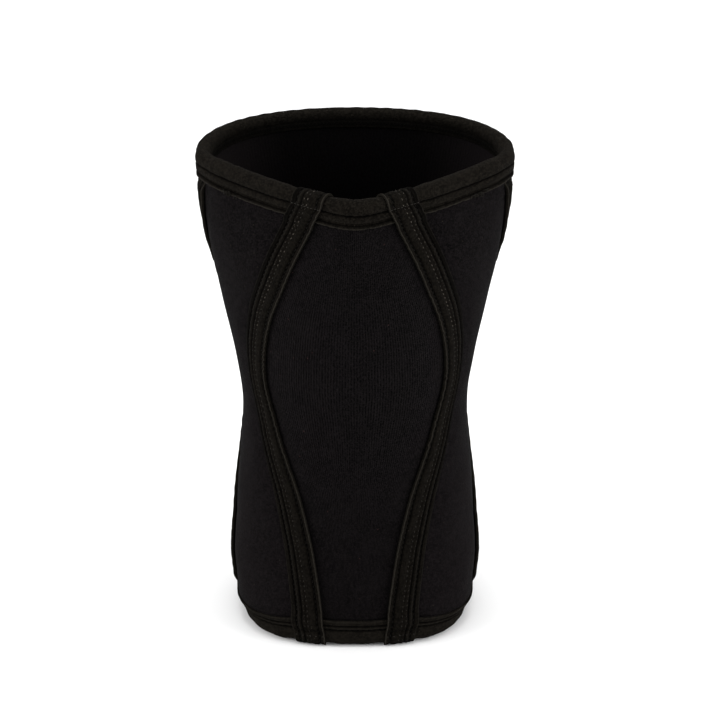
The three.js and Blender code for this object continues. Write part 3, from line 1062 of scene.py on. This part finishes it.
# Rows across a front tape: name, which rim, how far down from it, stitches, length, radius and thread
CROSS_ROWS = (
    ("top_cross_row", 1, 2.2 * MM, 9, 1.2 * MM, 0.22 * MM, MID_THREAD),
    ("bottom_cross_row", -1, 5.3 * MM, 8, 1.5 * MM, 0.30 * MM, HEM_THREAD),
    ("bottom_dots", -1, 2.2 * MM, 5, 0.8 * MM, 0.26 * MM, MID_THREAD),
)


def along_tape(over, share, length, at, across):
    """Points of the tape's face at the given lengths and share across, with the outward direction."""
    column = np.clip(np.searchsorted(share, across) - 1, 0, len(share) - 2)
    part = (across - share[column]) / (share[column + 1] - share[column])
    line = over[:, column] * (1 - part) + over[:, column + 1] * part
    side = unit(over[:, column + 1] - over[:, column])
    out = unit(np.cross(side, unit(np.gradient(line, axis=0))))

    def pick(values):
        return np.stack([np.interp(at, length, values[:, axis]) for axis in range(3)], 1)

    return pick(line), unit(pick(out))


def tape_stitches(seam, over, share, length, inward, seed):
    """The rows of stitches along a tape. Some of the lighter ones catch the light in its upper part."""
    rng = np.random.default_rng(seed)
    pieces = []
    for row, across, size, radius, material in STITCH_ROWS:
        at = np.arange(ROW_START, length[-1] - ROW_START, STITCH_PITCH)
        at = at + rng.normal(0, 0.15 * MM, len(at))
        lean = rng.normal(0, 0.012, 2)
        starts, outs = along_tape(over, share, length, at - size / 2, across + lean[0])
        ends, _ = along_tape(over, share, length, at + size / 2, across + lean[1])
        bright = np.zeros(len(at), bool)
        # Painted highlight: high up, some middle-thread stitches take the lighter copy and grow a little, as
        # stitches catching the light
        if material == MID_THREAD:
            bright = (starts[:, 2] > BRIGHT_FROM) & (rng.random(len(at)) < BRIGHT_SHARE)
        plain = ~bright & (np.minimum(starts[:, 2], ends[:, 2]) > FLOOR_MARGIN)
        kinds = (("", plain, material, radius), ("_bright", bright, HIGHLIGHT_THREAD, radius * BRIGHT_SWELL))
        for suffix, chosen, made_of, thick in kinds:
            if chosen.any():
                name = f"{seam}_{row}{suffix}"
                lines = (starts[chosen], ends[chosen], inward * outs[chosen])
                pieces.append(stitches(name, *lines, thick, made_of, "seam_tape"))
    return pieces


def cross_rows(seam, path, over, share, length, inward):
    """Rows of stitches straight across a front tape, where it lies over the bindings."""
    down = down_from_rim(path)
    pieces = []
    for row, end, run, count, size, radius, material in CROSS_ROWS:
        on_binding = np.where((path.end == end) & (path.turn == 0))[0]
        nearest = on_binding[np.argmin(np.abs(down[on_binding] - run))]
        at = np.array([length[nearest]])
        reach = size / TAPE_WIDTH / 2
        across = np.linspace(0.07, 0.93, count)
        starts = np.concatenate([along_tape(over, share, length, at, a - reach)[0] for a in across])
        ends = np.concatenate([along_tape(over, share, length, at, a + reach)[0] for a in across])
        outs = np.concatenate([along_tape(over, share, length, at, a)[1] for a in across])
        name = f"{seam}_{row}"
        pieces.append(stitches(name, starts, ends, inward * outs, radius, material, "seam_tape"))
    return pieces


# Bindings

SCALLOP = 0.25 * MM
GROOVE_REACH = 1.4 * MM
LIP_SCALLOP = 0.35 * MM
BINDING_UNEVEN = 0.12 * MM
BINDING_LEAST = 0.5 * MM
BOTTOM_BINDING_LIFT = 0.2 * MM
UNDER_STEP = 3
OVERLOCK_LINE = 3.2 * MM
OVERLOCK_PITCH = 2.2 * MM
OVERLOCK_LEAN = 2

# Stitches round a binding: length, radius and thread
GROOVE_STITCH = (2.0 * MM, 0.26 * MM, DARK_THREAD)
OVERLOCK_STITCH = (1.4 * MM, 0.22 * MM, HEM_THREAD)


def binding_stitches(name, over, end, row, count, size, radius, material, lean=0, skip=None):
    """Stitches round a binding along one of its rows, straight along it or leaning across some rows."""
    columns = over.shape[1]
    centres = np.arange(count) * columns / count
    if skip is not None:
        centres = centres[~skip[centres.astype(int) % columns]]

    def at(places, row_at):
        low = np.floor(places).astype(int)
        part = (places - low)[:, None]
        return over[row_at, low % columns] * (1 - part) + over[row_at, (low + 1) % columns] * part

    reach = size / BINDING_COLUMN / 2
    starts = at(centres - reach, row + lean)
    ends = at(centres + reach, row - lean)
    side = at(centres + 0.5, row) - at(centres - 0.5, row)
    way = at(centres, row + 1) - at(centres, row - 1)
    outs = end * unit(np.cross(side, way))
    return stitches(name, starts, ends, outs, radius, material, "rim_binding")


# Loose threads at the top binding's lip: how far out on each side they hang, their spread, curl and number
LOOSE_AT = 67 * MM
LOOSE_SPREAD = 5 * MM
LOOSE_CURL = 0.9 * MM
LOOSE_COUNT = 7
LOOSE_RADIUS = 0.20 * MM


def loose_threads(name, over, seed):
    """A few curled ends of thread where the lip is gathered, one group at each side of the front."""
    rng = np.random.default_rng(seed)
    lip = over[0]
    outs = unit(lip * (1, 1, 0))
    in_front = np.where(lip[:, 1] < SHIFT_Y)[0]
    lines, ways = [], []
    t = np.linspace(0, 1, 15)
    for hand in (-1, 1):
        for _ in range(LOOSE_COUNT):
            across = hand * (LOOSE_AT + rng.uniform(-1, 1) * LOOSE_SPREAD)
            column = in_front[np.argmin(np.abs(lip[in_front, 0] - across))]
            side = unit(lip[(column + 1) % len(lip)] - lip[column - 1])
            turns, phase = rng.uniform(0.8, 1.6), rng.uniform(0, TAU)
            size = LOOSE_CURL * rng.uniform(0.5, 1.2)
            run = rng.uniform(2, 4) * MM * (t - 0.5) + size * np.sin(TAU * turns * t + phase)
            rise = size * np.cos(TAU * turns * t + phase) + rng.uniform(-0.2, 1.4) * MM
            off = 0.25 * MM + 0.5 * size * (1 + np.sin(TAU * t + phase))
            curl = run[:, None] * side + rise[:, None] * (0, 0, 1) + off[:, None] * outs[column]
            lines.append(lip[column] + curl)
            ways.append(outs[column])
    thick = np.full((len(lines), len(t)), LOOSE_RADIUS)
    return thread_tubes(name, np.array(lines), np.array(ways), thick, LOOSE_THREAD)


def binding_face(path, s, run, girth, table, stitch_line, seed):
    """How far a binding's face lies off the wall. It is flatter beside and under the tapes."""
    down = down_from_rim(path)
    pitch = girth / round(girth / STITCH_PITCH)
    scallop = np.cos(TAU * run / pitch)[None] * SCALLOP
    shape = relief(table, down / MM)[:, None] + scallop * hump(down - stitch_line, GROOVE_REACH)[:, None]
    edge = beside_tapes(path, s)
    shape = np.where(shape > 0, shape * smooth((edge + 0.3 * MM) / (3 * MM)), shape)
    uneven = BINDING_UNEVEN * wobble(run, 13 * MM, seed)[None] * smooth(edge / (5 * MM))
    return BINDING_TOP + shape + uneven


def binding_sewing(name, over, down, end, girth, stitch_line, hidden, seed):
    """The stitches in a binding's groove and, at the top, the overlocked hem and the loose threads."""
    groove_row = int(np.argmin(np.abs(down - stitch_line)))
    row = (over, end, groove_row, round(girth / STITCH_PITCH), *GROOVE_STITCH)
    pieces = [binding_stitches(f"{name}_stitches", *row, skip=hidden)]
    if end > 0:
        hem_row = int(np.argmin(np.abs(down + math.pi * ROLL_RADIUS + OVERLOCK_LINE)))
        row = (over, end, hem_row, round(girth / OVERLOCK_PITCH), *OVERLOCK_STITCH)
        pieces.append(binding_stitches(f"{name}_overlock_4", *row, lean=OVERLOCK_LEAN))
        pieces.append(binding_stitches(f"{name}_overlock_0", *row, lean=-OVERLOCK_LEAN))
        pieces.append(loose_threads(f"{name}_loose_threads", over, seed + 5))
    return pieces


def build_binding(name, end, depth, table, stitch_line, cloth, seed):
    """The cloth folded round one rim, from its lip outside to its hem inside, and its stitches."""
    rim = rim_height(end)
    reach = depth - ROLL_RADIUS
    z = rim - end * np.linspace(reach, 0, round(reach / BINDING_ROW) + 1)
    outer = Path(z, 0, end, 0)
    path = outer + fold(end, 28) + inside(end, HEM_DEPTH - ROLL_RADIUS, BINDING_ROW)
    down = down_from_rim(path)
    half_girth = Rings(path.z).half_girth
    count = round(2 * half_girth.max() / BINDING_COLUMN)
    around = np.arange(count) / count
    girth = 2 * Rings(np.array([rim])).half_girth[0]
    run = around * girth
    s = 2 * half_girth[:, None] * around[None]
    face = binding_face(path, s, run, girth, table, stitch_line, seed)
    from_front = s - 2 * half_girth[:, None] * np.round(around)[None]
    raised = front_extra(path.end[:, None], from_front) * np.clip(down / reach, 0, 1)[:, None]
    over = layer(path, s, face)
    over[..., 2] += raised
    if end > 0:
        at_lip = (down > reach - 0.1 * MM)[:, None]
        over[..., 2] += at_lip * hump(wobble(run, 6 * MM, seed + 3) - 1, 0.9)[None] * LIP_SCALLOP
    else:
        over[..., 2] = np.maximum(over[..., 2], BOTTOM_BINDING_LIFT)
    some = slice(None, None, UNDER_STEP)
    under = layer(path.rows(some), s[some], np.minimum(CLEARANCE, face[some] - BINDING_LEAST))
    under[..., 2] += raised[some]
    loops = np.concatenate([over, under[::-1]]).transpose(1, 0, 2)
    face_run = reach - down
    back_run = face_run[-1] + 2 * MM + down[some][::-1] - down[-1]
    obj = cloth_solid(name + "_cloth", loops, run, np.concatenate([face_run, back_run]), ring=True)
    add_piece(obj, (cloth,), name)
    under_tape = beside_tapes(path, s)[len(z) // 2] < 0.5 * MM
    pieces = binding_sewing(name, over, down, end, girth, stitch_line, under_tape, seed)


build_panel("front_panel_cloth", "front_left", "front_right", False, RIBBED, 11)
build_panel("side_panel_right_cloth", "front_right", "rear_right", False, PLUSH, 21)
build_panel("side_panel_left_cloth", "rear_left", "front_left", False, PLUSH, 31)
build_panel("back_panel_cloth", "rear_right", "rear_left", True, PLUSH, 41)
top = (1, TOP_BINDING_DEPTH, TOP_BINDING_RELIEF, 2.6 * MM, TOP_BINDING_CLOTH)
bottom = (-1, BOTTOM_BINDING_DEPTH, BOTTOM_BINDING_RELIEF, 4.2 * MM, BOTTOM_BINDING_CLOTH)
build_binding("top_binding", *top, 51)
build_binding("bottom_binding", *bottom, 61)
for number, seam in enumerate(SEAM_NAMES):
    build_tape(seam, 71 + 10 * number)


# Stage, light and camera

VIEW_ELEVATION = math.radians(25)
VIEW_DISTANCE = 1.5
METRES_PER_PIXEL = 0.578 * MM
PHOTO_SIZE = 720
PHOTO_TARGET = (355, 385)
AXIS_AHEAD = 4.7 * MM


def build_camera():
    """The photograph's view: what lies at the target pixel is the sleeve's axis at half its height."""
    target = Vector((0, SHIFT_Y - AXIS_AHEAD, LENGTH / 2))
    back = Vector((0, -math.cos(VIEW_ELEVATION), math.sin(VIEW_ELEVATION)))
    data = bpy.data.cameras.new("camera")
    camera = bpy.data.objects.new("camera", data)
    camera.location = target + back * VIEW_DISTANCE
    camera.rotation_euler = (-back).to_track_quat("-Z", "Y").to_euler()
    data.lens = data.sensor_width * VIEW_DISTANCE / METRES_PER_PIXEL / PHOTO_SIZE
    data.shift_x = (PHOTO_SIZE / 2 - PHOTO_TARGET[0]) / PHOTO_SIZE
    data.shift_y = (PHOTO_TARGET[1] - PHOTO_SIZE / 2) / PHOTO_SIZE
    link(camera)
    bpy.context.scene.camera = camera


def build_floor():
    half = 4.0
    corners = [(-half, -half, 0), (half, -half, 0), (half, half, 0), (-half, half, 0)]
    mesh = bpy.data.meshes.new("floor")
    mesh.from_pydata(corners, [], [(0, 1, 2, 3)])
    floor = bpy.data.objects.new("floor", mesh)
    inputs = Shader("pale_floor").surface.inputs
    inputs["Base Color"].default_value = (0.9, 0.9, 0.9, 1)
    inputs["Roughness"].default_value = 0.9
    inputs["Specular IOR Level"].default_value = 0.1
    mesh.materials.append(bpy.data.materials["pale_floor"])
    link(floor)


def area_light(name, place, size, power):
    data = bpy.data.lights.new(name, "AREA")
    data.shape = "DISK"
    data.size = size
    data.energy = power
    light = bpy.data.objects.new(name, data)
    light.location = place
    aim = Vector((0, 0, LENGTH / 2)) - Vector(place)
    light.rotation_euler = aim.to_track_quat("-Z", "Y").to_euler()
    link(light)


def build_lights():
    world = bpy.data.worlds.new("studio")
    bpy.context.scene.world = world
    world.use_nodes = True
    sky = world.node_tree.nodes["Background"].inputs
    sky["Color"].default_value = (1, 1, 1, 1)
    sky["Strength"].default_value = 0.8
    area_light("light_left", (-1.7, -0.5, 0.8), 1.2, 24)
    area_light("light_right", (1.7, -0.5, 0.8), 1.2, 24)
    area_light("light_above", (0, 0.2, 2.2), 1.6, 26)
    settings = bpy.context.scene.view_settings
    settings.view_transform = "Standard"
    settings.look = "None"


build_camera()
build_floor()
build_lights()
